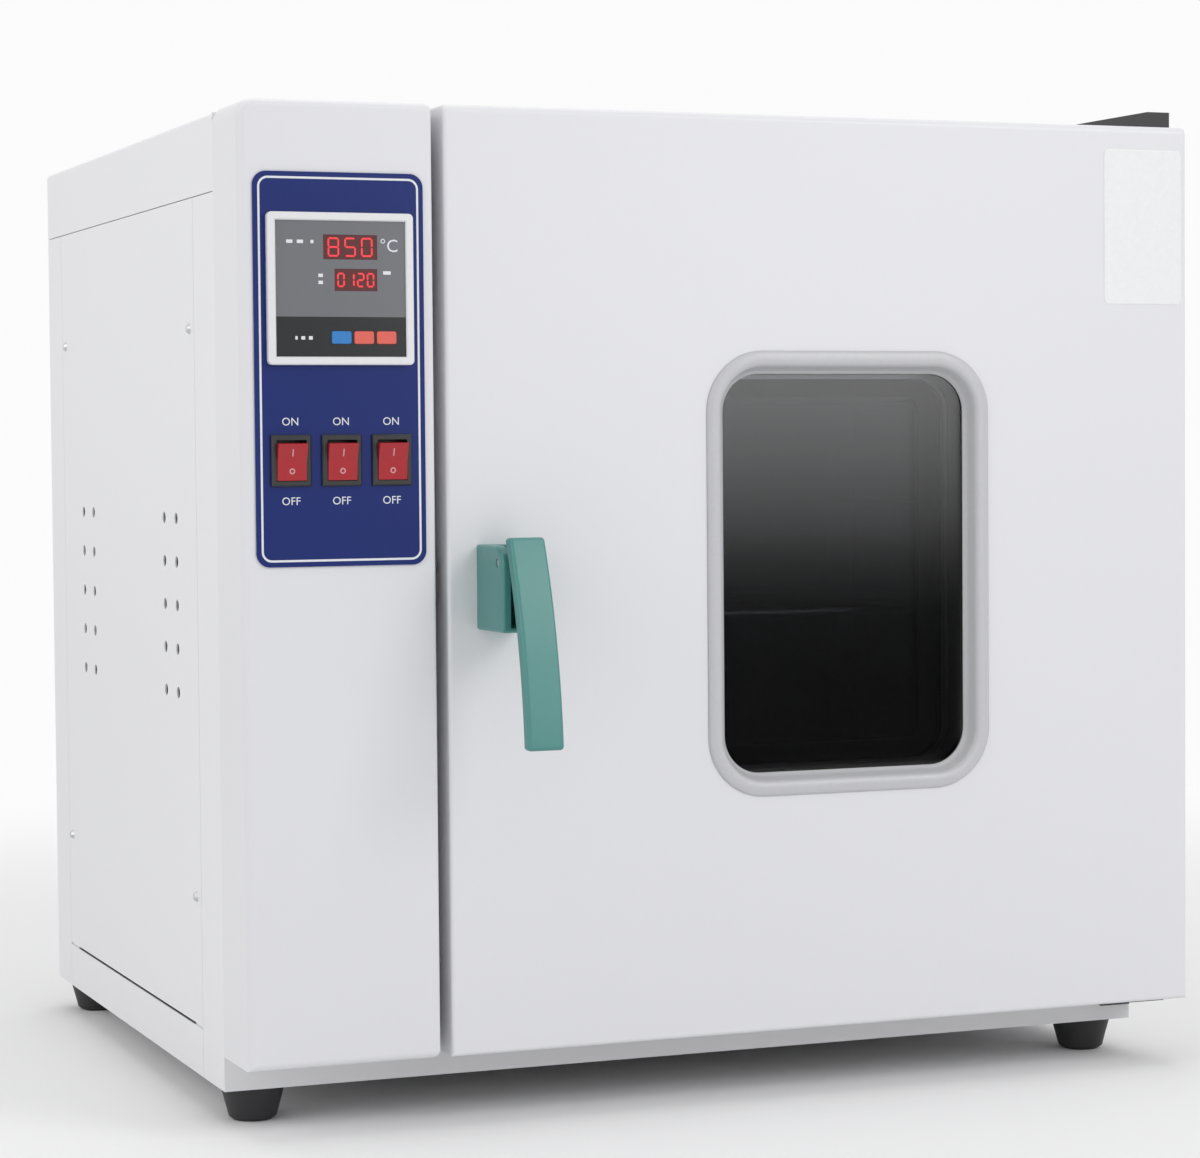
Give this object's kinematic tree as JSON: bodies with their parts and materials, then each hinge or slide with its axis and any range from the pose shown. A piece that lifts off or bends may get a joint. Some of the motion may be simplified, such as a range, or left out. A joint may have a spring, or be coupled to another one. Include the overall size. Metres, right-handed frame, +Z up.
{
  "type": "drying oven",
  "caption": "Bench-top hot-air drying oven: steel cabinet on rubber feet, control column with rocker switches, glazed hinged door with a lever latch, shelves and a side blower.",
  "frame": {"origin": "on the floor, in the middle of the box that the whole oven takes up at rest", "axes": "+Z up, +Y to the back of the oven, +X to its right as seen from the front"},
  "size_m": [0.6982, 0.6944, 0.6898],
  "materials": {
    "front_enamel": "satin powder coat, pale grey",
    "side_enamel": "satin powder coat, off-white",
    "zinc_sheet": "galvanised sheet",
    "stainless": "bright brushed stainless sheet and rod",
    "bright_steel": "nickel-plated steel",
    "black_plastic": "black moulding",
    "black_steel": "black enamel",
    "rubber": "black rubber",
    "silicone": "brick-red silicone rubber",
    "wool": "mineral wool",
    "blue_plate": "printed blue film on sheet",
    "white_plastic": "white moulding",
    "screen": "smoked screen sheet",
    "led": "dark red display window",
    "blue_key": "moulded key",
    "red_key": "moulded key",
    "red_plastic": "red moulding",
    "grey_trim": "pale grey moulding",
    "teal_plastic": "teal moulding",
    "window_glass": "toughened glass"
  },
  "bodies": {
    "root": {"front_frame": "front_enamel", "rear_panel": "side_enamel", "right_side": "side_enamel", "base_pan": "zinc_sheet", "top_cover": "side_enamel", "left_side_panel": "side_enamel", "panel_screws": "bright_steel", "feet": "rubber", "cable_gland": "black_plastic", "chamber_liner": "stainless", "insulation": "wool", "compartment_wall": "zinc_sheet", "duct_baffle": "stainless", "chamber_floor": "stainless", "heater_elements": "stainless", "temperature_probe": "stainless", "fan_motor": "black_steel", "exhaust_tube": "side_enamel", "shelf_ladders": "stainless", "relay": "zinc_sheet", "column_shell": "front_enamel", "control_plate": "blue_plate", "controller_bezel": "white_plastic", "controller_case": "black_plastic", "controller_screen": "screen", "displays": "led", "switch_housings": "black_plastic", "upper_bracket": "black_steel", "lower_bracket": "black_steel", "hinge_pins": "bright_steel", "hinge_cover": "black_plastic", "keeper": "stainless"},
    "door": {"door_shell": "front_enamel", "window_bezel": "grey_trim", "outer_glass": "window_glass", "window_tunnel": "stainless", "mid_frame": "stainless", "inner_frame": "black_steel", "inner_glass": "window_glass", "door_liner": "stainless", "door_wool": "wool", "door_gasket": "silicone", "hinge_blocks": "bright_steel", "handle_boss": "teal_plastic", "lever_pin": "bright_steel", "latch_case": "zinc_sheet"},
    "lever": {"handle_lever": "teal_plastic"},
    "bolt": {"latch_bolt": "bright_steel"},
    "fan": {"fan_shaft": "stainless", "fan_impeller": "stainless"},
    "vent_cap": {"exhaust_cap": "black_plastic"},
    "lower_shelf": {"shelf_lower": "stainless"},
    "upper_shelf": {"shelf_upper": "stainless"},
    "switch_1": {"rocker_1": "red_plastic"},
    "button_1": {"key_1": "blue_key"},
    "switch_2": {"rocker_2": "red_plastic"},
    "button_2": {"key_2": "red_key"},
    "switch_3": {"rocker_3": "red_plastic"},
    "button_3": {"key_3": "red_key"}
  },
  "joints": [
    {"name": "door_hinge", "type": "hinge", "parent": "root", "child": "door", "pos_m": [0.3351, -0.22925, 0.0475], "axis": [0, 0, 1], "range_deg": [0, 150], "deforming": ["keeper"]},
    {"name": "lever_pull", "type": "hinge", "parent": "door", "child": "lever", "pos_m": [-0.1744, -0.29725, 0.3735], "axis": [-1, 0, 0], "range_deg": [0, 28], "stiffness_Nm_per_rad": 0.5},
    {"name": "bolt_slide", "type": "slide", "parent": "door", "child": "bolt", "axis": [1, 0, 0], "range_m": [0, 0.0065]},
    {"name": "fan_spin", "type": "hinge", "parent": "root", "child": "fan", "pos_m": [-0.1789, 0.06125, 0.341], "axis": [1, 0, 0], "continuous": true},
    {"name": "vent_turn", "type": "hinge", "parent": "root", "child": "vent_cap", "pos_m": [0.0536, 0.10525, 0.668], "axis": [0, 0, 1], "range_deg": [0, 30]},
    {"name": "lower_shelf_slide", "type": "slide", "parent": "root", "child": "lower_shelf", "axis": [0, -1, 0], "range_m": [0, 0.025]},
    {"name": "upper_shelf_slide", "type": "slide", "parent": "root", "child": "upper_shelf", "axis": [0, -1, 0], "range_m": [0, 0.025]},
    {"name": "rocker_1_tilt", "type": "hinge", "parent": "root", "child": "switch_1", "pos_m": [-0.3147, -0.25865, 0.4405], "axis": [-1, 0, 0], "range_deg": [0, 22]},
    {"name": "rocker_2_tilt", "type": "hinge", "parent": "root", "child": "switch_2", "pos_m": [-0.2809, -0.25865, 0.4405], "axis": [-1, 0, 0], "range_deg": [0, 22]},
    {"name": "rocker_3_tilt", "type": "hinge", "parent": "root", "child": "switch_3", "pos_m": [-0.2471, -0.25865, 0.4405], "axis": [-1, 0, 0], "range_deg": [0, 22]},
    {"name": "key_1_press", "type": "slide", "parent": "root", "child": "button_1", "axis": [0, 1, 0], "range_m": [0, 0.0008], "stiffness_N_per_m": 200},
    {"name": "key_2_press", "type": "slide", "parent": "root", "child": "button_2", "axis": [0, 1, 0], "range_m": [0, 0.0008], "stiffness_N_per_m": 200},
    {"name": "key_3_press", "type": "slide", "parent": "root", "child": "button_3", "axis": [0, 1, 0], "range_m": [0, 0.0008], "stiffness_N_per_m": 200}
  ],
  "couplings": [
    {"joint": "bolt_slide", "follows": "lever_pull", "m_per_rad": 0.013301}
  ]
}
